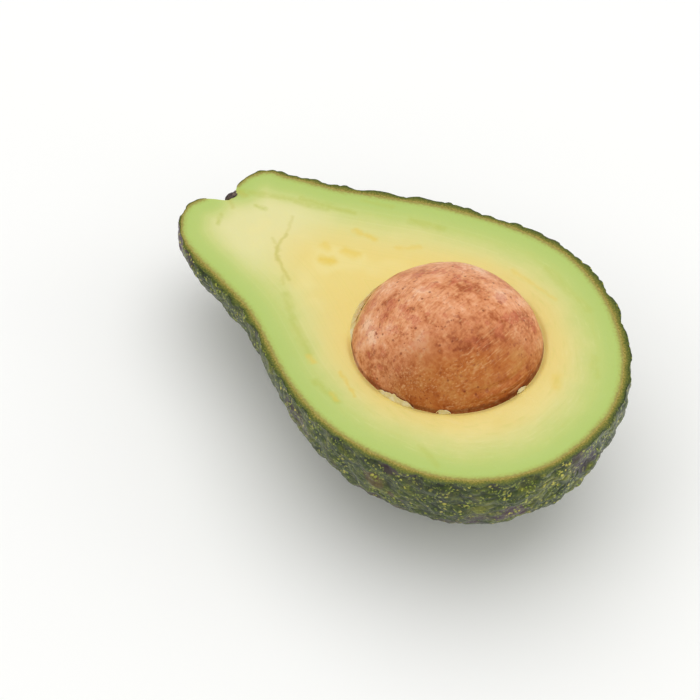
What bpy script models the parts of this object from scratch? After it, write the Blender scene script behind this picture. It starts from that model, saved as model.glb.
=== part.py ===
"""Half an avocado with its seed, cut lengthwise through the stem end.

The half lies on its rounded back with the cut face up, the neck a little
lower than the bulb.  It is worked out in a fruit frame in millimetres:
u runs along the fruit toward the blossom end, v across the cut face and
w out of it; the cut face is w = 0 and the seed sits near the origin.
"""
import math

import bmesh
import bpy
import numpy as np
from mathutils import Matrix, Vector

MM = 0.001

# ---- the fruit outside: distance along it and half width of the cut face ----
OUTSIDE = [(-63.1, 0.0), (-63.15, 0.9), (-63.8, 1.9), (-65.2, 3.3), (-66.2, 5.0), (-66.4, 6.8),
           (-65.8, 9.2), (-63.9, 11.9), (-60.5, 14.3), (-56.0, 16.4), (-52.0, 17.7), (-48.0, 18.9),
           (-44.0, 20.4), (-40.0, 21.9), (-36.0, 23.6), (-30.0, 26.6), (-24.0, 29.3), (-18.0, 31.7),
           (-12.0, 33.5), (-6.0, 34.7), (0.0, 35.1), (6.0, 34.5), (12.0, 33.0), (18.0, 30.8),
           (24.0, 27.4), (30.0, 22.3), (35.0, 15.2), (37.8, 7.5), (38.5, 0.0)]
DEPTH_RATIO = 0.97          # depth of the back over half the width of the face
# the middle line of the pear bends a little: distance along, shift across
BEND = [(-68.0, 1.4), (-60.0, 0.4), (-54.0, 0.3), (-48.0, 0.7), (-42.0, 1.7), (-36.0, 2.5),
        (-30.0, 2.8), (-18.0, 2.3), (0.0, 1.9), (12.0, 1.0), (24.0, -0.5), (38.5, -1.6)]
SHOULDER_STEP = 1.6         # one shoulder beside the stem stands this much further out
SHOULDER_SOFT = 3.0         # distance over which the step is reached
SHOULDER_FROM, SHOULDER_TO = -50.0, -60.0

SKIN_THICK = 1.6
GAP = 0.3                   # air between neighbouring pieces
SKIN_START = 3.4            # the skin stops this far from the stem, inside the dimple

# ---- seed and its hollow ----
SEED_CENTRE = (-0.5, 0.8, -4.0)
SEED_RADII = (20.1, 19.4, 18.3)
HOLLOW_GAP = 0.4            # around the seed
HOLLOW_EXTRA = 1.1          # more room on the neck side, where the seed has shrunk away

# ---- stem button left in the dimple ----
BUTTON_RADIUS = 1.5
BUTTON_THICK = 1.4
BUTTON_ROUND = 0.4

# ---- how it lies ----
NECK_DOWN = math.radians(8.0)
FLAT_DEPTH = 0.9            # the back is worn flat this deep where it rests

STEM_LENGTH = 20.0          # the first stretch of the outline, with finer points
STEM_POINTS = 15
PROFILE_POINTS = 32
TURN_STEPS = 24


def smooth(points, x):
    """Curve through the given points, without overshoot."""
    p = np.array(points, float)
    h = np.diff(p[:, 0])
    s = np.diff(p[:, 1]) / h
    m = np.r_[s[0], np.where(s[:-1] * s[1:] > 0, 2 * s[:-1] * s[1:] / (s[:-1] + s[1:] + 1e-12), 0.0), s[-1]]
    k = np.clip(np.searchsorted(p[:, 0], x) - 1, 0, len(h) - 1)
    t = (x - p[k, 0]) / h[k]
    return ((2 * t**3 - 3 * t**2 + 1) * p[k, 1] + (t**3 - 2 * t**2 + t) * h[k] * m[k]
            + (3 * t**2 - 2 * t**3) * p[k + 1, 1] + (t**3 - t**2) * h[k] * m[k + 1])


def outside_curve():
    """Evenly spaced points on the outside and the directions square to it."""
    p = np.array(OUTSIDE, float)
    d = np.r_[0, np.cumsum(np.hypot(*np.diff(p, axis=0).T))]
    fine = np.linspace(0, d[-1], 1200)
    q = np.c_[[smooth(np.c_[d, p[:, i]], fine) for i in (0, 1)]].T
    for _ in range(60):                                  # ease out small kinks
        q[1:-1] = (q[:-2] + 2 * q[1:-1] + q[2:]) / 4
    d = np.r_[0, np.cumsum(np.hypot(*np.diff(q, axis=0).T))]
    at = np.r_[np.linspace(0, STEM_LENGTH, STEM_POINTS)[:-1],
               np.linspace(STEM_LENGTH, d[-1], PROFILE_POINTS)]
    pts = np.c_[np.interp(at, d, q[:, 0]), np.interp(at, d, q[:, 1])]
    tan = np.gradient(pts, axis=0)
    tan[0], tan[-1] = (0, 1), (0, -1)                    # square to the axis at both ends
    tan /= np.hypot(*tan.T)[:, None]
    return pts, np.c_[tan[:, 1], -tan[:, 0]]             # points, inward directions


def to_row(co):
    """Straight round body -> bent fruit -> lying on its back, in metres."""
    u, v, w = co
    w *= DEPTH_RATIO if w < 0 else 1.0
    fade = min(1.0, max(0.0, (u - SHOULDER_FROM) / (SHOULDER_TO - SHOULDER_FROM)))
    fade = fade * fade * (3 - 2 * fade)
    bend = float(smooth(BEND, np.array([u]))[0])
    u += fade * SHOULDER_STEP * math.tanh(v / SHOULDER_SOFT)
    return lay(Vector((u, v + bend, w)))


def lay(fruit_mm):
    return Matrix.Rotation(-NECK_DOWN, 3, 'Y') @ fruit_mm * MM


def chain(bm, pts):
    verts = [bm.verts.new((u, max(r, 0.0), 0.0)) for u, r in pts]
    edges = [bm.edges.new(pair) for pair in zip(verts, verts[1:])]
    return verts, edges


def half_turn(bm, geom):
    bmesh.ops.spin(bm, geom=geom, cent=(0, 0, 0), axis=(-1, 0, 0), dvec=(0, 0, 0),
                   angle=math.pi, steps=TURN_STEPS, use_duplicate=False)
    bmesh.ops.remove_doubles(bm, verts=bm.verts, dist=1e-4)
    bmesh.ops.dissolve_degenerate(bm, dist=1e-5, edges=bm.edges)


def finish_mesh(bm, name, colour, rough, smooth_angle=40):
    bmesh.ops.recalc_face_normals(bm, faces=bm.faces)
    for f in bm.faces:
        f.smooth = True
    for e in bm.edges:
        if e.is_manifold:
            e.smooth = e.calc_face_angle(0.0) < math.radians(smooth_angle)
    mesh = bpy.data.meshes.new(name)
    bm.to_mesh(mesh)
    bm.free()
    mat = bpy.data.materials.new(name)
    mat.use_nodes = True
    bsdf = mat.node_tree.nodes["Principled BSDF"]
    bsdf.inputs["Base Color"].default_value = (*colour, 1)
    bsdf.inputs["Roughness"].default_value = rough
    mesh.materials.append(mat)
    obj = bpy.data.objects.new(name, mesh)
    bpy.context.scene.collection.objects.link(obj)
    return obj


def move_all(bm):
    for v in bm.verts:
        v.co = to_row(v.co.copy())


def make_skin(pts, inward):
    keep = [i for i in range(len(pts)) if not (pts[i, 1] < SKIN_START and pts[i, 0] < 0)]
    outer = pts[keep]
    inner = outer + inward[keep] * SKIN_THICK
    bm = bmesh.new()
    _, edges = chain(bm, outer)
    strip = bmesh.ops.extrude_edge_only(bm, edges=edges)
    moved = [g for g in strip["geom"] if isinstance(g, bmesh.types.BMVert)]
    for v in moved:
        i = int(np.argmin(np.hypot(outer[:, 0] - v.co.x, outer[:, 1] - v.co.y)))
        v.co = (inner[i, 0], max(inner[i, 1], 0.0), 0.0)
    half_turn(bm, bm.verts[:] + bm.edges[:] + bm.faces[:])
    move_all(bm)
    low = min(v.co.z for v in bm.verts)
    cut = bmesh.ops.bisect_plane(bm, geom=bm.verts[:] + bm.edges[:] + bm.faces[:], dist=1e-7,
                                 plane_co=(0, 0, low + FLAT_DEPTH * MM), plane_no=(0, 0, -1),
                                 clear_outer=True)
    ring = [g for g in cut["geom_cut"] if isinstance(g, bmesh.types.BMEdge)]
    bmesh.ops.contextual_create(bm, geom=ring)
    return finish_mesh(bm, "skin", (0.045, 0.065, 0.012), 0.42)


def make_flesh(pts, inward):
    body = pts + inward * (SKIN_THICK + GAP)
    bm = bmesh.new()
    _, edges = chain(bm, body)
    half_turn(bm, bm.verts[:] + edges)
    rim = [e for e in bm.edges if e.is_boundary]
    bmesh.ops.contextual_create(bm, geom=rim)
    move_all(bm)
    return finish_mesh(bm, "flesh", (0.70, 0.66, 0.20), 0.5)


def ball(name, centre, radii, colour, rough, segments, rings):
    bm = bmesh.new()
    bmesh.ops.create_uvsphere(bm, u_segments=segments, v_segments=rings, radius=1.0)
    for v in bm.verts:
        v.co = lay(Vector([c + r * x for c, r, x in zip(centre, radii, v.co)]))
    return finish_mesh(bm, name, colour, rough)


def make_button(pts):
    top = pts[0, 0] + SKIN_THICK                         # side toward the flesh
    foot = top - BUTTON_THICK
    section = [(foot, 0.0), (foot, BUTTON_RADIUS - BUTTON_ROUND),
               (foot + BUTTON_ROUND, BUTTON_RADIUS), (top - BUTTON_ROUND, BUTTON_RADIUS),
               (top, BUTTON_RADIUS - BUTTON_ROUND), (top, 0.0)]
    bm = bmesh.new()
    _, edges = chain(bm, section)
    half_turn(bm, bm.verts[:] + edges)
    bmesh.ops.contextual_create(bm, geom=[e for e in bm.edges if e.is_boundary])
    move_all(bm)
    return finish_mesh(bm, "stem_button", (0.06, 0.04, 0.03), 0.8)


for old in list(bpy.data.objects):
    bpy.data.objects.remove(old, do_unlink=True)

points, inward_dirs = outside_curve()
skin = make_skin(points, inward_dirs)
flesh = make_flesh(points, inward_dirs)
seed = ball("seed", SEED_CENTRE, SEED_RADII, (0.47, 0.20, 0.08), 0.5, 36, 20)
button = make_button(points)

# the hollow: the seed's shape, a little larger and longer toward the neck
hollow = ball("seed_hollow",
              (SEED_CENTRE[0] - HOLLOW_EXTRA / 2, SEED_CENTRE[1], SEED_CENTRE[2]),
              (SEED_RADII[0] + HOLLOW_GAP + HOLLOW_EXTRA / 2, SEED_RADII[1] + HOLLOW_GAP,
               SEED_RADII[2] + HOLLOW_GAP), (0.7, 0.6, 0.2), 0.5, 32, 20)
hollow.hide_render = True
hollow.display_type = 'WIRE'
cut = flesh.modifiers.new("hollow", 'BOOLEAN')
cut.operation = 'DIFFERENCE'
cut.solver = 'EXACT'
cut.object = hollow

# set it down: bottom on z = 0, middle of its footprint on the origin
corners = [o.matrix_world @ Vector(c) for o in (skin, flesh, seed, button) for c in o.bound_box]
lo = Vector([min(c[i] for c in corners) for i in range(3)])
hi = Vector([max(c[i] for c in corners) for i in range(3)])
shift = Vector((-(lo.x + hi.x) / 2, -(lo.y + hi.y) / 2, -lo.z))
for o in (skin, flesh, seed, button, hollow):
    o.data.transform(Matrix.Translation(shift))
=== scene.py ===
"""Looks of half an avocado with its seed: pebbly skin, cut flesh, seed, film and scraps.

Lengths are millimetres in a fruit frame until a piece is set down: u runs along the
fruit toward the blossom end, v across the cut face, w out of it (the face is w = 0).
The skin and the flesh are modelled straight and round, then bent to the fruit's own curve; every piece is laid on its
back.
"""
import math

import bmesh
import bpy
import numpy as np
from mathutils import Matrix, Vector, noise


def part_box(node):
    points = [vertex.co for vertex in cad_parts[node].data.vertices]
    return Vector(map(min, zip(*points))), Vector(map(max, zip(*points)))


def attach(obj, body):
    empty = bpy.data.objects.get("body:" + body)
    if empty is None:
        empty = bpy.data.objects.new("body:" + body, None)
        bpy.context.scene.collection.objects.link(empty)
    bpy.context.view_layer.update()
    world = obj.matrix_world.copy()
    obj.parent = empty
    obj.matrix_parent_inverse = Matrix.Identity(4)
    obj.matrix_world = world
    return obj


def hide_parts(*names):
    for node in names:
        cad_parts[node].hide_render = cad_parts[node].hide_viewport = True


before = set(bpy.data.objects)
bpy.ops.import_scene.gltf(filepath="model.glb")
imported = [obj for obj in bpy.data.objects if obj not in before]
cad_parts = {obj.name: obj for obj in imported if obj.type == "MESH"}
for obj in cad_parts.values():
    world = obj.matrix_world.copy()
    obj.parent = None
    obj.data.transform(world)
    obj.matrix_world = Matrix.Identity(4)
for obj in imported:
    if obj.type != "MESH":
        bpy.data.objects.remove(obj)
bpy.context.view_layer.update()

MM = 0.001
CREASE = math.radians(55)   # edges sharper than this stay sharp

# ---- the fruit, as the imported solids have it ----
OUTSIDE = [(-62.1, 0.0), (-62.4, 0.9), (-63.4, 1.9), (-64.8, 3.3), (-65.8, 4.8), (-66.15, 6.6),
           (-65.6, 9.1), (-63.9, 11.8), (-60.5, 14.3), (-56.0, 16.4), (-52.0, 17.7), (-48.0, 18.9),
           (-44.0, 20.4), (-40.0, 21.9), (-36.0, 23.6), (-30.0, 26.6), (-24.0, 29.3), (-18.0, 31.7),
           (-12.0, 33.5), (-6.0, 34.7), (0.0, 35.1), (6.0, 34.5), (12.0, 33.0), (18.0, 30.8),
           (24.0, 27.4), (30.0, 22.3), (35.0, 15.2), (37.8, 7.5), (38.5, 0.0)]
DEPTH_RATIO = 0.97
BEND = [(-68.0, 1.8), (-63.5, 1.6), (-60.0, 0.5), (-54.0, 0.3), (-48.0, 0.7), (-42.0, 1.7), (-36.0, 2.5),
        (-30.0, 2.8), (-18.0, 2.3), (0.0, 1.9), (12.0, 1.0), (24.0, -0.5), (38.5, -1.6)]
SHOULDER_STEP, SHOULDER_SOFT = 1.8, 4.5
SHOULDER_FROM, SHOULDER_TO = -50.0, -60.0
SKIN_THICK = [(-69.0, 0.55), (-64.0, 0.7), (-58.0, 1.15), (-48.0, 1.6), (40.0, 1.6)]   # along the fruit
SKIN_START = 3.0            # the skin ends this far from the stem, thinned to nothing
SEED_CENTRE = np.array([-0.5, 0.8, -4.0])
SEED_RADII = np.array([19.8, 19.1, 18.3])
NECK_DOWN = math.radians(8.0)

# ---- camera and light ----
CAMERA_DISTANCE = 0.600     # from the seed's middle on the cut face
CAMERA_TOWARD = Vector((0.4561, -0.5155, 0.7254))
CAMERA_RIGHT = Vector((0.7490, 0.6626, 0.0))
CAMERA_LENS = 154.3
CAMERA_ASIDE = (0.0323, 0.0017)   # the face's middle sits right of and above the view's middle


# ---------------------------------------------------------------- shape helpers
def curve_through(points, x):
    """Smooth curve through the given points, without overshoot."""
    p = np.array(points, float)
    h = np.diff(p[:, 0])
    s = np.diff(p[:, 1]) / h
    m = np.r_[s[0], np.where(s[:-1] * s[1:] > 0, 2 * s[:-1] * s[1:] / (s[:-1] + s[1:] + 1e-12), 0.0), s[-1]]
    k = np.clip(np.searchsorted(p[:, 0], x) - 1, 0, len(h) - 1)
    t = (x - p[k, 0]) / h[k]
    return ((2 * t**3 - 3 * t**2 + 1) * p[k, 1] + (t**3 - 2 * t**2 + t) * h[k] * m[k]
            + (3 * t**2 - 2 * t**3) * p[k + 1, 1] + (t**3 - t**2) * h[k] * m[k + 1])


def soft_step(x, low, high):
    t = np.clip((x - low) / (high - low), 0.0, 1.0)
    return t * t * (3 - 2 * t)


def outside_line(spacing):
    """Points on the outside half outline, with directions pointing into the fruit."""
    p = np.array(OUTSIDE, float)
    d = np.r_[0, np.cumsum(np.hypot(*np.diff(p, axis=0).T))]
    fine = np.linspace(0, d[-1], 1200)
    q = np.c_[[curve_through(np.c_[d, p[:, i]], fine) for i in (0, 1)]].T
    for _ in range(60):
        q[1:-1] = (q[:-2] + 2 * q[1:-1] + q[2:]) / 4
    d = np.r_[0, np.cumsum(np.hypot(*np.diff(q, axis=0).T))]
    at = np.linspace(0, d[-1], int(d[-1] / spacing))
    pts = np.c_[np.interp(at, d, q[:, 0]), np.interp(at, d, q[:, 1])]
    tan = np.gradient(pts, axis=0)
    tan[0], tan[-1] = (0, 1), (0, -1)
    tan /= np.hypot(*tan.T)[:, None]
    return pts, np.c_[tan[:, 1], -tan[:, 0]]


def skin_depth(pts):
    """How thick the skin is at each point of the outline."""
    lip = soft_step(pts[:, 1], SKIN_START - 0.2, SKIN_START + 2.5)
    return curve_through(SKIN_THICK, pts[:, 0]) * np.where(pts[:, 0] < -55, np.maximum(lip, 0.12), 1.0)


def bent(co):
    """Straight round body -> the fruit's own bend and uneven shoulders."""
    u, v, w = np.array(co, float).T
    w = np.where(w < 0, w * DEPTH_RATIO, w)
    fade = soft_step(-u, -SHOULDER_FROM, -SHOULDER_TO)
    return np.c_[u + fade * SHOULDER_STEP * np.tanh(v / SHOULDER_SOFT), v + curve_through(BEND, u), w]


SEED_BOX = np.array(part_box("seed"))
LAY = Matrix.Rotation(-NECK_DOWN, 3, 'Y')
LAY_ROWS = np.array(LAY)
SEED_PLACE = SEED_BOX.mean(axis=0)


def laid(fruit):
    """Fruit frame in millimetres -> lying on its back, in metres."""
    return (np.asarray(fruit, float) - SEED_CENTRE) @ LAY_ROWS.T * MM + SEED_PLACE


def positions(bm):
    return np.array([v.co[:] for v in bm.verts])


def put(bm, co):
    for v, c in zip(bm.verts, co):
        v.co = c


def chain(bm, pts):
    verts = [bm.verts.new((u, max(r, 0.0), 0.0)) for u, r in pts]
    return verts, [bm.edges.new(pair) for pair in zip(verts, verts[1:])]


def half_turn(bm, geom, steps):
    bmesh.ops.spin(bm, geom=geom, cent=(0, 0, 0), axis=(-1, 0, 0), dvec=(0, 0, 0),
                   angle=math.pi, steps=steps, use_duplicate=False)
    bmesh.ops.remove_doubles(bm, verts=bm.verts, dist=1e-3)
    bmesh.ops.dissolve_degenerate(bm, dist=1e-4, edges=bm.edges)


def wrap_up(bm, name, finish, stands_for=None):
    """Turns the finished bmesh into a piece that rides on the fruit."""
    bmesh.ops.recalc_face_normals(bm, faces=bm.faces)
    for f in bm.faces:
        f.smooth = True
    for e in bm.edges:
        e.smooth = e.calc_face_angle(0.0) < CREASE
    mesh = bpy.data.meshes.new(name)
    bm.to_mesh(mesh)
    bm.free()
    mesh.materials.append(finish)
    piece = bpy.data.objects.new(name, mesh)
    bpy.context.scene.collection.objects.link(piece)
    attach(piece, "root")
    if stands_for:
        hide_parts(stands_for)
    return piece


def note(piece, name, values):
    """Keeps one number per vertex for the piece's finish to read."""
    piece.data.attributes.new(name, 'FLOAT', 'POINT').data.foreach_set("value", np.asarray(values, np.float32))


# ---------------------------------------------------------------- finish helpers
def paint(code):
    """Display colour code -> linear colour."""
    rgb = [int(code[i:i + 2], 16) / 255 for i in (1, 3, 5)]
    return tuple(c / 12.92 if c <= 0.04045 else ((c + 0.055) / 1.055) ** 2.4 for c in rgb) + (1.0,)


class Wire:
    """A value or colour in a finish; arithmetic on it adds the nodes."""

    def __init__(self, finish, socket):
        self.finish, self.socket = finish, socket

    def maths(self, operation, *values):
        return self.finish.add("ShaderNodeMath", {"operation": operation}, *values)

    def __add__(self, other):
        return self.maths("ADD", self, other)

    def __sub__(self, other):
        return self.maths("SUBTRACT", self, other)

    def __rsub__(self, other):
        return self.maths("SUBTRACT", other, self)

    def __mul__(self, other):
        return self.maths("MULTIPLY", self, other)

    def __truediv__(self, other):
        return self.maths("DIVIDE", self, other)

    __radd__, __rmul__ = __add__, __mul__

    def size(self):
        return self.maths("ABSOLUTE", self)

    def least(self, other):
        return self.maths("MINIMUM", self, other)

    def most(self, other):
        return self.maths("MAXIMUM", self, other)

    def step(self, low, high):
        """0 below low, 1 above high, soft between; low may be the larger."""
        return self.finish.add("ShaderNodeMapRange", {"interpolation_type": "SMOOTHSTEP"},
                               self, low, high, 0.0, 1.0)


class Finish:
    """A material under construction."""

    def __init__(self, name, **constants):
        self.material = bpy.data.materials.new(name)
        self.material.use_nodes = True
        self.tree = self.material.node_tree
        self.shader = self.tree.nodes["Principled BSDF"]
        for key, value in constants.items():
            self.shader.inputs[key.replace("_", " ")].default_value = value

    def add(self, kind, settings=None, *values, out=0, **named):
        node = self.tree.nodes.new(kind)
        for key, value in (settings or {}).items():
            if key == "stops":
                ramp = node.color_ramp
                while len(ramp.elements) < len(value):
                    ramp.elements.new(1.0)
                for element, (at, colour) in zip(ramp.elements, value):
                    element.position, element.color = at, paint(colour)
            else:
                setattr(node, key, value)
        for key, value in list(enumerate(values)) + [(k.replace("_", " "), v) for k, v in named.items()]:
            if value is None:
                continue
            if isinstance(value, Wire):
                self.tree.links.new(value.socket, node.inputs[key])
            else:
                node.inputs[key].default_value = value
        return Wire(self, node.outputs[out])

    def mix(self, amount, first, second, blend="MIX"):
        first, second = [paint(c) if isinstance(c, str) else c for c in (first, second)]
        return self.add("ShaderNodeMix", {"data_type": "RGBA", "blend_type": blend},
                        amount, None, None, None, None, None, first, second, out=2)

    def ramp(self, value, stops):
        return self.add("ShaderNodeValToRGB", {"stops": stops}, value)

    def noted(self, name):
        return self.add("ShaderNodeAttribute", {"attribute_name": name}, out=2)

    def fruit_place(self):
        """Object coordinates turned back into the fruit frame, in millimetres."""
        where = self.add("ShaderNodeTexCoord", out=3)
        back = Matrix.Rotation(NECK_DOWN, 3, 'Y')
        shift = Vector(SEED_CENTRE) - back @ Vector(SEED_PLACE) / MM
        return self.add("ShaderNodeMapping", {"vector_type": "POINT"}, where, tuple(shift),
                        (0.0, NECK_DOWN, 0.0), (1 / MM,) * 3)

    def stretched(self, place, scale):
        return self.vector("MULTIPLY", place, scale)

    def grain(self, place, size, detail=2.0, rough=0.5, warp=0.0):
        """Noise whose lumps are about size across, 0 to 1."""
        return self.add("ShaderNodeTexNoise", None, Vector=place, Scale=1 / size, Detail=detail,
                        Roughness=rough, Distortion=warp)

    def vector(self, operation, *values, out=0, **named):
        return self.add("ShaderNodeVectorMath", {"operation": operation}, *values, out=out, **named)

    def cells(self, place, size, feature="F1", out=0, random=1.0):
        return self.add("ShaderNodeTexVoronoi", {"feature": feature}, Vector=place,
                        Scale=1 / size, Randomness=random, out=out)

    def set(self, **links):
        for key, wire in links.items():
            self.tree.links.new(wire.socket, self.shader.inputs[key.replace("_", " ")])
        return self.material

    def bump(self, height, depth, strength=1.0, under=None):
        """Relief of the given depth in metres for a height of 0 to 1."""
        return self.add("ShaderNodeBump", None, Strength=strength, Distance=depth, Height=height, Normal=under)


# ---------------------------------------------------------------- skin
SKIN_SPACING, SKIN_TURNS = 0.62, 172
PEBBLE, PEBBLE_HEIGHT = 2.5, 0.40
WAVE, WAVE_HEIGHT = 4.2, 0.85
FINE, FINE_HEIGHT = 0.9, 0.06
SWAY_APART = (0.0, 9.3, 21.7)       # three unlike draws from one noise
EDGE_LAYERS = (0.12, 0.45, 1.0)     # steps across the cut thickness of the skin
EDGE_CHAMFER = 0.08
# stains on the skin: middle in the fruit frame, size, strength, colour
STAINS = [((31.7, -16.8, -12.5), 3.6, 0.75, "#4f3648"), ((24.0, -21.8, -17.5), 3.0, 0.6, "#4a3244"),
          ((9.0, -31.9, -7.0), 2.4, 0.38, "#6b3d2c"), ((12.5, -30.0, -10.5), 1.8, 0.5, "#5f3a30"),
          ((-62.8, -11.3, 0.0), 6.0, 0.8, "#52324a"), ((-57.0, -13.0, -7.0), 4.5, 0.6, "#5d3a26"),
          ((38.3, -2.0, -5.0), 3.5, 0.5, "#4a3550"), ((-4.4, 36.8, -1.5), 2.2, 0.8, "#4d2a1c")]
UNDERSIDE_CALM = 0.6                # the relief is this much lower underneath


def pebble(p):
    """Height of the skin's pebbles over the smooth body, and how high on its pebble a point is."""
    p = Vector(p)
    sway = Vector([noise.noise(p / 3.0 + Vector((apart, -apart, apart))) for apart in SWAY_APART])
    near, _ = noise.voronoi((p + 0.8 * sway) / PEBBLE)
    dome = min(1.0, 1.7 * (near[1] - near[0]))
    dome *= 2 - dome
    wave = noise.noise(p / WAVE)
    return PEBBLE_HEIGHT * (dome - 0.6) + WAVE_HEIGHT * wave + FINE_HEIGHT * noise.noise(p / FINE), dome


def skin_finish():
    f = Finish("avocado_skin", Roughness=0.42, Specular_IOR_Level=0.12, Coat_Weight=0.40, Coat_Roughness=0.22)
    place = f.fruit_place()
    dome, depth = f.noted("dome"), f.noted("depth")
    broad, mid, fine = f.grain(place, 9.0, 3.0), f.grain(place, 2.0, 4.0), f.grain(place, 0.6, 3.0)
    green = f.ramp(broad * 0.40 + mid * 0.35 + fine * 0.25,
                   [(0.40, "#1d2907"), (0.47, "#31410b"), (0.54, "#4b5614"), (0.62, "#6d7020")])
    # painted shade: the hollows between the pebbles (low on their dome) are darkened toward #161d08
    low = f.mix(dome.step(0.6, 0.05) * 0.6, green, "#161d08")
    plum = f.grain(place, 12.0, 3.0).step(0.57, 0.66)
    low = f.mix(plum * 0.7, low, "#3b2430")
    for middle, size, share, colour in STAINS:
        off = f.vector("LENGTH", f.vector("SUBTRACT", place, middle), out=1) / size
        low = f.mix((off + (mid - 0.5) * 1.6).step(1.1, 0.75) * share, low, colour)
    wobble = f.add("ShaderNodeVectorMath", {"operation": "ADD"}, place,
                   f.stretched(f.add("ShaderNodeTexNoise", None, Vector=place, Scale=1.6, out=1), (0.9, 0.9, 0.9)))
    crowd = f.grain(place, 3.5, 2.0).step(0.36, 0.58)
    for size, reach, share, colour in ((0.60, 0.44, 0.52, "#8a9a30"), (0.85, 0.42, 0.55, "#a3a83a"),
                                       (1.2, 0.34, 0.55, "#c4ba4e")):
        pick = f.add("ShaderNodeSeparateColor", None, f.cells(wobble, size, out=1))
        spot = f.cells(wobble, size).step(reach, reach * 0.45) * pick.step(1 - share, 1.15 - share)
        low = f.mix(spot * (crowd * 0.65 + 0.25), low, colour)
    edge = f.ramp(depth + (f.grain(place, 0.4, 4.0, 0.65) - 0.5) * 1.7,
                  [(0.0, "#36440a"), (0.32, "#545e12"), (0.58, "#71711f"), (0.82, "#8d8230"), (1.0, "#ac9a4a")])
    relief = f.bump(fine * 0.5 + f.grain(place, 1.5, 3.0), 0.00035, 0.7)
    return f.set(Base_Color=f.mix(depth.step(0.06, 0.2), low, edge), Normal=relief)


def make_skin():
    pts, inward = outside_line(SKIN_SPACING)
    keep = [i for i in range(len(pts)) if not (pts[i, 1] < SKIN_START and pts[i, 0] < 0)]
    outer, inward, thick = pts[keep], inward[keep], skin_depth(pts[keep])
    bm = bmesh.new()
    along, depth = bm.verts.layers.int.new("along"), bm.verts.layers.float.new("depth")
    verts, edges = chain(bm, outer)
    for i, v in enumerate(verts):
        v[along] = i
    for part in EDGE_LAYERS:
        made = bmesh.ops.extrude_edge_only(bm, edges=edges)["geom"]
        edges = [g for g in made if isinstance(g, bmesh.types.BMEdge) and len(g.link_faces) == 1]
        fresh = [g for g in made if isinstance(g, bmesh.types.BMVert)]
        edges = [e for e in edges if e.verts[0] in fresh and e.verts[1] in fresh]
        for v in fresh:
            v.co.xy = outer[v[along]] + inward[v[along]] * thick[v[along]] * part
            v.co.y = max(v.co.y, 0.0)
            v[depth] = part
    half_turn(bm, bm.verts[:] + bm.edges[:] + bm.faces[:], SKIN_TURNS)

    co = positions(bm)
    where = np.array([v[along] for v in bm.verts])
    into = np.array([v[depth] for v in bm.verts])
    girth = np.maximum(np.hypot(co[:, 1], co[:, 2]), 1e-6)
    out = -np.c_[inward[where, 0], inward[where, 1] * co[:, 1] / girth, inward[where, 1] * co[:, 2] / girth]
    lift, dome = np.array([pebble(c) if d < 1 else (0.0, 1.0) for c, d in zip(co, into)]).T
    lift *= soft_step(girth, SKIN_START - 0.5, SKIN_START + 2.5) * (1 - into)
    lift *= 1 - UNDERSIDE_CALM * soft_step(-out[:, 2], 0.35, 0.95)
    on_cut = np.abs(co[:, 2]) < 1e-4
    co += out * lift[:, None]
    co[on_cut & (into == 0), 2] -= EDGE_CHAMFER
    place = laid(bent(co))
    place[:, 2] = np.maximum(place[:, 2], 0.0)      # pressed flat where it rests
    put(bm, place)
    skin = wrap_up(bm, "pebbly_skin", skin_finish(), "skin")
    note(skin, "dome", dome)
    return skin


# ---------------------------------------------------------------- flesh
FLESH_SPACING, FLESH_TURNS = 0.6, 56
FACE_RINGS, HOLLOW_RINGS = 60, 14
SEED_FIT = 0.15                     # gap between seed and flesh around the face
NECK_GAP, NECK_GAP_TURN, NECK_GAP_WIDE = 0.9, math.radians(170), math.radians(42)
SHOULDER_ROLL, SHOULDER_DROP = 0.7, 0.5
CLING_RISE = 0.9                    # where flesh clings, its edge climbs the seed instead
FILM_TURN, FILM_WIDE, FILM_TOP = math.radians(172), math.radians(62), 8.5   # where flesh clings to the seed
STEM_ACROSS, STEM_OPEN = 1.7, 3.6   # no skin, and no green under it, this close to the stem


def seed_rim(turn):
    """Distance from the seed's middle to the hollow's edge on the face, by direction."""
    a, b = SEED_RADII[:2] * math.sqrt(1 - (SEED_CENTRE[2] / SEED_RADII[2]) ** 2)
    away = np.abs((turn - NECK_GAP_TURN + math.pi) % (2 * math.pi) - math.pi)
    gap = SEED_FIT + NECK_GAP * np.exp(-(away / NECK_GAP_WIDE) ** 2)
    return 1 / np.hypot(np.cos(turn) / a, np.sin(turn) / b) + gap


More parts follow.
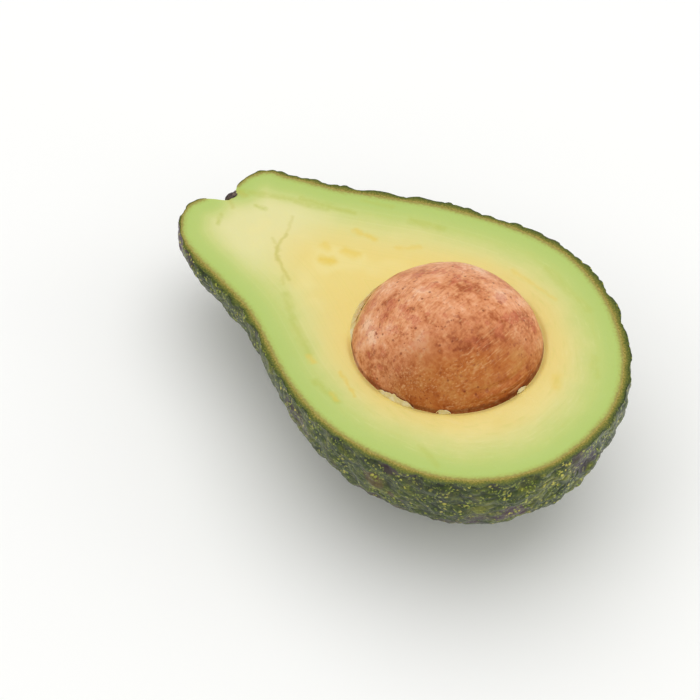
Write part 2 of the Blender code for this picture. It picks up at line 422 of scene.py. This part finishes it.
# veins and marks seen on the cut face: start, end (along, across), half width, strength
GREEN_VEINS = [((-51, 11.5), (-39.5, 15.6), 0.55, 0.55), ((-29, 21.8), (-23, 24.3), 0.8, 0.5),
               ((-62.5, 4.6), (-53, 9.5), 0.6, 0.5), ((-53, 9.5), (-45, 12.6), 0.7, 0.5), ((-34, -11), (-28, -15), 0.7, 0.45),
               ((-28, -15.5), (-19, -20), 0.7, 0.5), ((-13, -24.6), (-6, -25.7), 0.6, 0.5),
               ((1, 29.6), (15, 26.2), 0.7, 0.3), ((14, -23.6), (20, -25.2), 0.5, 0.35),
               ((-56.5, 3.6), (-54.6, 4.0), 0.5, 0.6), ((-60.2, -3.4), (-58.8, -5.6), 0.45, 0.6),
               ((-41, 19.5), (-35, 22.3), 0.5, 0.35), ((24, 17), (28, 13), 0.5, 0.25)]
GOLD_MARKS = [((-35, 1.3), (-33.6, 2.0), 1.0, 0.7), ((-33.5, 6.3), (-31, 6.8), 0.9, 0.55),
              ((-36, 11.9), (-31, 12.7), 0.6, 0.5), ((-38, 4.6), (-36.6, 4.2), 0.7, 0.4),
              ((-11, -19.6), (-4.5, -22.4), 0.35, 0.5), ((-18.5, -20.6), (-17, -21), 0.6, 0.5),
              ((-8, -25), (-6.5, -25.3), 0.5, 0.4), ((22, 8), (23.5, 6), 0.8, 0.35),
              ((8, 24), (-4, 24.8), 0.4, 0.3), ((-26, 14), (-22.5, 17), 0.5, 0.35)]
CRACK = [((-48.6, 6.2), (-46, 1.8), 0.36, 0.35), ((-46, 1.8), (-44.8, -2.2), 0.38, 0.65),
         ((-44.8, -2.2), (-42, -4.9), 0.42, 0.8), ((-42, -4.9), (-36.4, -7.6), 0.36, 0.65),
         ((-44.8, -2.2), (-47.5, -1.0), 0.3, 0.4), ((-39, -6.4), (-36.4, -9.5), 0.3, 0.35),
         ((-62.6, 3.9), (-60.5, 4.4), 0.5, 0.7), ((-62.2, 1.0), (-60.0, 0.2), 0.45, 0.5)]


def marks(f, flat, strokes):
    """Strokes on the face as one mask."""
    mask = None
    for start, end, half_width, strength in strokes:
        along = Vector((end[0] - start[0], end[1] - start[1], 0.0))
        rel = f.vector("SUBTRACT", flat, (*start, 0.0))
        part = f.vector("DOT_PRODUCT", rel, tuple(along / along.length_squared), out=1).most(0.0).least(1.0)
        off = f.vector("SUBTRACT", rel, f.vector("SCALE", tuple(along), Scale=part))
        here = f.vector("LENGTH", off, out=1).step(half_width * 2.2, 0.0) * strength
        mask = here if mask is None else mask.most(here)
    return mask


def flesh_finish():
    f = Finish("avocado_flesh", Roughness=0.40, Subsurface_Weight=0.12, Subsurface_Radius=(0.0035, 0.0028, 0.0010),
               Subsurface_Scale=1.0)
    place = f.fruit_place()
    rim, along = f.noted("rim"), f.noted("along")
    u = f.add("ShaderNodeSeparateXYZ", None, place)
    wide, cloud, fleck = f.grain(place, 14.0, 2.0), f.grain(place, 6.0, 2.0) - 0.5, f.grain(place, 0.6, 3.0) - 0.5
    deep = rim + cloud * 4.0 * rim.step(1.5, 8.0) + fleck * 1.2
    colour = f.ramp(deep / 20.0, [(0.0, "#92883a"), (0.014, "#a09c42"), (0.032, "#abba58"), (0.065, "#b1c766"),
                                  (0.16, "#b6c96b"), (0.25, "#bfcc70"), (0.36, "#ccd07c"), (0.50, "#d9d485"),
                                  (0.66, "#e2d382"), (0.85, "#e7d27c")])
    pale = u.step(-36.0, -50.0) * rim.step(3.0, 10.0)
    colour = f.mix(pale * 0.8, colour, "#e2dd9f")
    colour = f.mix(wide.step(0.5, 0.62) * rim.step(8.0, 14.0) * 0.4, colour, "#ebdf98")
    core = f.noted("core")
    colour = f.mix(core.step(9.0, 0.5) * rim.step(4.0, 12.0) * 0.55, colour, "#ead077")
    body = rim.step(2.5, 5.0) * (1 - pale)
    lines = f.grain(f.add("ShaderNodeCombineXYZ", None, along * 0.16, rim * 1.15, 3.0), 1.0, 3.0, 0.6)
    colour = f.mix(lines.step(0.50, 0.72) * body * 0.20, colour, "#c3c45c")
    colour = f.mix(lines.step(0.46, 0.28) * body * 0.12, colour, "#f0e6b0")
    sway = f.stretched(f.add("ShaderNodeTexNoise", None, Vector=place, Scale=0.5, Detail=3.0, out=1), (1.6, 1.6, 0.0))
    flat = f.vector("ADD", f.stretched(place, (1.0, 1.0, 0.0)), sway)
    flat = f.vector("SUBTRACT", flat, (0.8, 0.8, 0.0))
    green, gold, crack = marks(f, flat, GREEN_VEINS), marks(f, flat, GOLD_MARKS), marks(f, flat, CRACK)
    patchy = f.grain(place, 1.6, 2.0).step(0.25, 0.55) * 0.5 + 0.5
    colour = f.mix(green * patchy * 0.85, colour, "#b3bb42")
    colour = f.mix(gold * patchy, colour, "#e2c23a")
    colour = f.mix(crack * 0.7, colour, "#bcb443")
    w = f.add("ShaderNodeSeparateXYZ", None, place, out=2)
    colour = f.mix(w.step(-0.4, -1.3) * u.step(-56.0, -60.0), colour, "#4b3a24")     # stem scar, round the back
    relief = f.bump(f.grain(place, 0.8, 3.0), 0.00008, 0.6)
    return f.set(Base_Color=colour, Normal=relief)


def make_flesh():
    pts, inward = outside_line(FLESH_SPACING)
    bm = bmesh.new()
    along = bm.verts.layers.float.new("along")
    _, edges = chain(bm, pts + inward * skin_depth(pts)[:, None])
    half_turn(bm, bm.verts[:] + edges, FLESH_TURNS)
    put(bm, bent(positions(bm)))
    ring = [e for e in bm.edges if e.is_boundary]
    rim_corners = list({v for e in ring for v in e.verts})
    outline = np.array([v.co[:2] for v in rim_corners])
    far_line, near_line = [bent(np.c_[pts[:, 0], side * pts[:, 1], 0 * pts[:, 0]])[:, :2] for side in (1, -1)]
    for v in rim_corners:
        v[along] = FLESH_SPACING * min(int(np.argmin(np.hypot(*(line - v.co[:2]).T))) for line in (far_line, near_line))

    t = np.linspace(1, 0, FACE_RINGS + 1)
    share = t - 0.08 * np.sin(2 * math.pi * t)
    for now, then in zip(share, share[1:]):
        ring, fresh = grown(bm, ring)
        for v in fresh:
            off = np.array(v.co[:2]) - SEED_CENTRE[:2]
            turn, far = math.atan2(off[1], off[0]), math.hypot(*off)
            rim = float(seed_rim(turn))
            reach = rim + (far - rim) * then / now
            v.co.xy = SEED_CENTRE[:2] + off / far * reach
    a, b, c = SEED_RADII + SEED_FIT + 0.25
    sink = math.asin(-SEED_CENTRE[2] / c)
    for k in range(1, HOLLOW_RINGS + 1):
        angle = sink + (math.pi / 2 - sink) * k / HOLLOW_RINGS * 0.985
        ring, fresh = grown(bm, ring)
        slope = math.cos(angle) / math.cos(sink)
        for v in fresh:
            off = np.array(v.co[:2]) - SEED_CENTRE[:2]
            turn = math.atan2(off[1], off[0])
            v.co.xy = SEED_CENTRE[:2] + off / math.hypot(*off) * float(seed_rim(turn)) * slope
            v.co.z = SEED_CENTRE[2] + c * (math.sin(sink) - math.sin(angle)) - c * math.sin(sink) + 4.0 - 4.0
    bmesh.ops.contextual_create(bm, geom=ring)

    co = positions(bm)
    off = co[:, :2] - SEED_CENTRE[:2]
    core = np.hypot(*off.T) - seed_rim(np.arctan2(off[:, 1], off[:, 0]))
    skinned = outline[~((outline[:, 0] < -60) & (np.abs(outline[:, 1] - STEM_ACROSS) < STEM_OPEN))]
    edge, green = [np.array([np.hypot(*(line - c[:2]).T).min() for c in co]) for line in (outline, skinned)]
    away = np.abs((np.arctan2(off[:, 1], off[:, 0]) - FILM_TURN + math.pi) % (2 * math.pi) - math.pi)
    face = np.abs(co[:, 2]) < 1e-4
    relief = np.array([0.10 * noise.noise(Vector(c) / 11) + 0.05 * noise.noise(Vector(c) / 3.2) for c in co])
    co[face, 2] += (relief * soft_step(edge, 0.0, 2.5) - (SHOULDER_DROP - CLING_RISE * soft_step(-away, -FILM_WIDE, 0.0)) * np.exp(-(core / SHOULDER_ROLL) ** 2))[face]
    put(bm, laid(co))
    flesh = wrap_up(bm, "cut_flesh", flesh_finish(), "flesh")
    note(flesh, "rim", green)
    note(flesh, "core", core)
    return flesh


def grown(bm, ring):
    """Draws a new ring out of a closed ring of edges; returns its edges and corners."""
    made = bmesh.ops.extrude_edge_only(bm, edges=ring)["geom"]
    fresh = {g for g in made if isinstance(g, bmesh.types.BMVert)}
    edges = [g for g in made if isinstance(g, bmesh.types.BMEdge) and all(v in fresh for v in g.verts)]
    return edges, fresh


# ---------------------------------------------------------------- seed
SEED_LUMP, SEED_LUMP_HEIGHT = 11.0, 0.35
SEED_DENT, SEED_DENT_HEIGHT = 3.2, 0.10
LIP_TURN, LIP_WIDE, LIP_LIFT, LIP_HEIGHT = math.radians(-14), math.radians(20), 2.2, 0.42   # fold of the seed coat


def seed_finish():
    f = Finish("seed_coat", Roughness=0.44, Specular_IOR_Level=0.16)
    place = f.fruit_place()
    axes = f.add("ShaderNodeSeparateXYZ", None, place)
    across = f.add("ShaderNodeSeparateXYZ", None, place, out=1)
    broad, mid, fine = f.grain(place, 8.0, 3.0), f.grain(place, 2.4, 4.0), f.grain(place, 0.7, 4.0)
    colour = f.ramp(broad * 0.5 + mid * 0.3 + fine * 0.2,
                    [(0.39, "#ab5c32"), (0.46, "#d4895a"), (0.53, "#e6a276"), (0.61, "#f2c09c")])
    # darker, browner towards the right and the near side: partly the seed's own deeper tone, partly painted shade for
    # the light falling off to the lower right, set against the right_low lamp
    low = (axes * 1.0 - across * 0.65 + (broad - 0.5) * 12.0).step(3.0, 17.0)
    colour = f.mix(low, colour, (0.60, 0.41, 0.17, 1.0), "MULTIPLY")
    rose = f.grain(place, 3.2, 3.0).step(0.54, 0.64) * (1 - low)
    colour = f.mix(rose * 0.5, colour, "#c4684c")
    blotch = f.grain(place, 1.7, 4.0, 0.6).step(0.60, 0.70)
    colour = f.mix(blotch * 0.6, colour, "#93452a")
    for turn, size in ((0.5, 0.42), (1.3, 0.36), (2.5, 0.5)):
        turned = f.add("ShaderNodeMapping", {"vector_type": "POINT"}, place, (turn * 9, 2.0, turn), (0.3, 0.2, turn),
                       (1.0, 0.10, 1.0))
        strand = f.grain(turned, size, 1.0, 0.4, 0.12)
        patch = f.grain(turned, 12.0 * size, 2.0).step(0.40, 0.62)
        colour = f.mix(strand.step(0.56, 0.74) * patch * 0.34, colour, "#edbb86")
        colour = f.mix(strand.step(0.42, 0.28) * patch * 0.28, colour, "#94471d")
    dots = f.cells(place, 1.5)
    pick = f.add("ShaderNodeSeparateColor", None, f.cells(place, 1.5, out=1))
    colour = f.mix(dots.step(0.24, 0.10) * pick.step(0.6, 0.75) * 0.7, colour, "#7a3518")
    fleck = f.grain(place, 0.55, 3.0, 0.6).step(0.60, 0.68) * f.grain(place, 6.0, 2.0).step(0.48, 0.6)
    colour = f.mix(fleck * 0.75, colour, "#8a3a18")
    film, foot = f.noted("film"), f.noted("foot")
    streak = f.grain(f.stretched(place, (1.0, 1.0, 0.4)), 1.2, 4.0, 0.6)
    colour = f.mix((film + streak - 0.5).step(0.25, 0.75) * film.step(0.0, 0.3) * 0.85, colour, "#cfb160")
    # painted shade: a dark brown band at the seed's foot, where it meets the cut face, except under the film
    colour = f.mix(foot.step(0.8, 0.0) * (1 - film.step(0.0, 0.4)) * 0.6, colour, "#5d2f12")
    relief = f.bump(fine, 0.00014, 0.7)
    return f.set(Base_Color=colour, Normal=relief)


def make_seed():
    bm = bmesh.new()
    bmesh.ops.create_icosphere(bm, subdivisions=7, radius=1.0)
    co = positions(bm)
    lump = np.array([SEED_LUMP_HEIGHT * noise.noise(Vector(c) * 20 / SEED_LUMP)
                     + SEED_DENT_HEIGHT * noise.fractal(Vector(c) * 20 / SEED_DENT, 1.0, 2.0, 3) for c in co])
    fruit = SEED_CENTRE + co * SEED_RADII
    turn, lift = np.arctan2(co[:, 1], co[:, 0]), fruit[:, 2]
    beside = np.exp(-((turn - LIP_TURN) / LIP_WIDE) ** 4)
    lump += beside * (LIP_HEIGHT * np.exp(-((lift - LIP_LIFT) / 0.6) ** 2) - 0.35 * np.exp(-((lift - LIP_LIFT - 1.1) / 0.5) ** 2))
    put(bm, laid(fruit + co * lump[:, None]))
    seed = wrap_up(bm, "seed_body", seed_finish(), "seed")
    away = np.abs((turn - FILM_TURN + math.pi) % (2 * math.pi) - math.pi)
    note(seed, "film", soft_step(-lift, -FILM_TOP, 0.0) * soft_step(-away, -FILM_WIDE, -0.5 * FILM_WIDE))
    # height over the cut face; the seed's finish paints shade from it at the seed's foot
    note(seed, "foot", np.abs(lift))
    return seed


# ---------------------------------------------------------------- stem scrap
def make_scrap():
    f = Finish("dry_stem", Roughness=0.85)
    place = f.fruit_place()
    f.set(Base_Color=f.ramp(f.grain(place, 0.6, 3.0), [(0.3, "#2b2324"), (0.5, "#4a3c38"), (0.7, "#7a675a")]))
    bm = bmesh.new()
    bmesh.ops.create_icosphere(bm, subdivisions=4, radius=1.0)
    co = positions(bm)
    rough = np.array([0.35 * noise.noise(Vector(c) * 1.6) for c in co])
    co *= (1 + rough)[:, None]
    put(bm, laid(np.array([-62.5, 2.9, -0.9]) + co * np.array([1.1, 1.9, 1.3])))
    return wrap_up(bm, "stem_scrap", f.material, "stem_button")


# ---------------------------------------------------------------- film and flakes around the seed
def seed_shell(turn, lift, off):
    """Point just over the seed at a direction around it and a height over the cut face."""
    a, b, c = SEED_RADII + off
    rise = (lift - SEED_CENTRE[2]) / c
    wide = math.sqrt(max(0.0, 1 - rise * rise))
    return (SEED_CENTRE[0] + a * wide * math.cos(turn), SEED_CENTRE[1] + b * wide * math.sin(turn), lift)


def film_finish():
    f = Finish("seed_film", Roughness=0.45, Subsurface_Weight=0.2, Subsurface_Radius=(0.002, 0.0015, 0.0006),
               Subsurface_Scale=1.0)
    place, rise = f.fruit_place(), f.noted("rise")
    colour = f.ramp(f.grain(place, 1.6, 3.0), [(0.35, "#e3cc7c"), (0.5, "#eedb9a"), (0.65, "#f5eabc")])
    streak = f.grain(f.stretched(place, (1.0, 1.0, 0.3)), 0.9, 3.0, 0.6) - 0.5
    colour = f.mix((rise + streak * 0.9).step(0.05, 0.8), colour, "#c98f52")
    return f.set(Base_Color=colour, Normal=f.bump(f.grain(place, 0.6, 3.0), 0.0001, 0.6))


# torn film and flakes: direction from and to (degrees), foot and top over the face, how far foot
# and free edge stand off the seed, how much of the seed's colour the free edge takes
FILMS = [("film_neck", 122, 222, -0.5, 4.2, 1.6, 0.12, 1.0), ("flake_low_left", 265, 290, -0.4, 1.15, 0.3, 0.22, 0.0),
         ("flake_low", 304, 312, -0.3, 0.65, 0.3, 0.25, 0.0), ("flake_right", 356, 364, -0.3, 0.55, 0.3, 0.2, 0.0)]


def make_film(name, start, end, foot, top, foot_off, top_off, blend, finish):
    bm = bmesh.new()
    bmesh.ops.create_grid(bm, x_segments=max(16, (end - start) * 3), y_segments=8, size=1.0)
    co = positions(bm)
    spots = []
    for x, y, _ in co:
        turn, rise = math.radians(start + (end - start) * (x + 1) / 2), (y + 1) / 2
        ragged = 0.8 + 0.45 * noise.noise(Vector((turn * 9, foot * 5, 1.0))) + 0.25 * noise.noise(Vector((turn * 40, 2.0, foot)))
        lift = foot + (top * ragged - foot) * rise * max(0.0, 1 - abs(x) ** 3)
        off = foot_off * (1 - abs(x) ** 3) * (1 - rise) + top_off * rise ** 2 + 0.08
        spots.append(seed_shell(turn, lift, off + 0.06 * math.sin(turn * 40) * rise))
    put(bm, laid(spots))
    bmesh.ops.recalc_face_normals(bm, faces=bm.faces)
    bmesh.ops.solidify(bm, geom=bm.faces[:], thickness=0.12 * MM)
    rise = positions(bm) @ LAY_ROWS[:, 2]
    rise = (rise - rise.min()) / (rise.max() - rise.min()) * blend
    film = wrap_up(bm, name, finish, None)
    note(film, "rise", rise)
    return film


make_skin()
make_flesh()
make_seed()
make_scrap()
film_paint = film_finish()
for film in FILMS:
    make_film(*film, film_paint)

# ---------------------------------------------------------------- floor, light, camera
def make_floor():
    f = Finish("pale_floor", Roughness=0.9, Base_Color=paint("#fafaf8"))
    bm = bmesh.new()
    bmesh.ops.create_grid(bm, x_segments=1, y_segments=1, size=3.0)
    mesh = bpy.data.meshes.new("floor")
    bm.to_mesh(mesh)
    bm.free()
    mesh.materials.append(f.material)
    floor = bpy.data.objects.new("floor", mesh)
    bpy.context.scene.collection.objects.link(floor)


def soft_light(name, toward, distance, size, power, tint=(1, 1, 1)):
    light = bpy.data.lights.new(name, 'AREA')
    light.shape, light.size, light.energy, light.color = 'DISK', size, power, tint
    lamp = bpy.data.objects.new(name, light)
    way = Vector(toward).normalized()
    lamp.location = way * distance
    lamp.rotation_euler = way.to_track_quat('Z', 'Y').to_euler()
    bpy.context.scene.collection.objects.link(lamp)


make_floor()
soft_light("overhead", (-0.15, 0.10, 1.0), 1.2, 1.5, 7.0)
soft_light("right_back", (0.8, 0.9, 0.50), 1.2, 0.8, 1.4)
soft_light("front_fill", (-0.3, -0.8, 0.9), 1.4, 0.8, 1.9)
soft_light("right_low", (1.0, 0.15, 0.10), 0.9, 0.16, 1.1)
world = bpy.data.worlds.new("studio")
world.use_nodes = True
world.node_tree.nodes["Background"].inputs["Color"].default_value = (1, 1, 1, 1)
world.node_tree.nodes["Background"].inputs["Strength"].default_value = 0.60
bpy.context.scene.world = world
bpy.context.scene.view_settings.view_transform = 'Standard'

toward, right = LAY @ CAMERA_TOWARD.normalized(), LAY @ CAMERA_RIGHT.normalized()
up = toward.cross(right)
back = (toward + right * CAMERA_ASIDE[0] + up * CAMERA_ASIDE[1]).normalized()
right = (right - back * right.dot(back)).normalized()
lens = bpy.data.cameras.new("camera")
lens.lens, lens.sensor_width, lens.clip_start, lens.clip_end = CAMERA_LENS, 36.0, 0.01, 20.0
camera = bpy.data.objects.new("camera", lens)
turn = Matrix((right, back.cross(right), back)).transposed()
camera.matrix_world = Matrix.Translation(Vector(laid([0, 0, 0])) + toward * CAMERA_DISTANCE) @ turn.to_4x4()
bpy.context.scene.collection.objects.link(camera)
bpy.context.scene.camera = camera
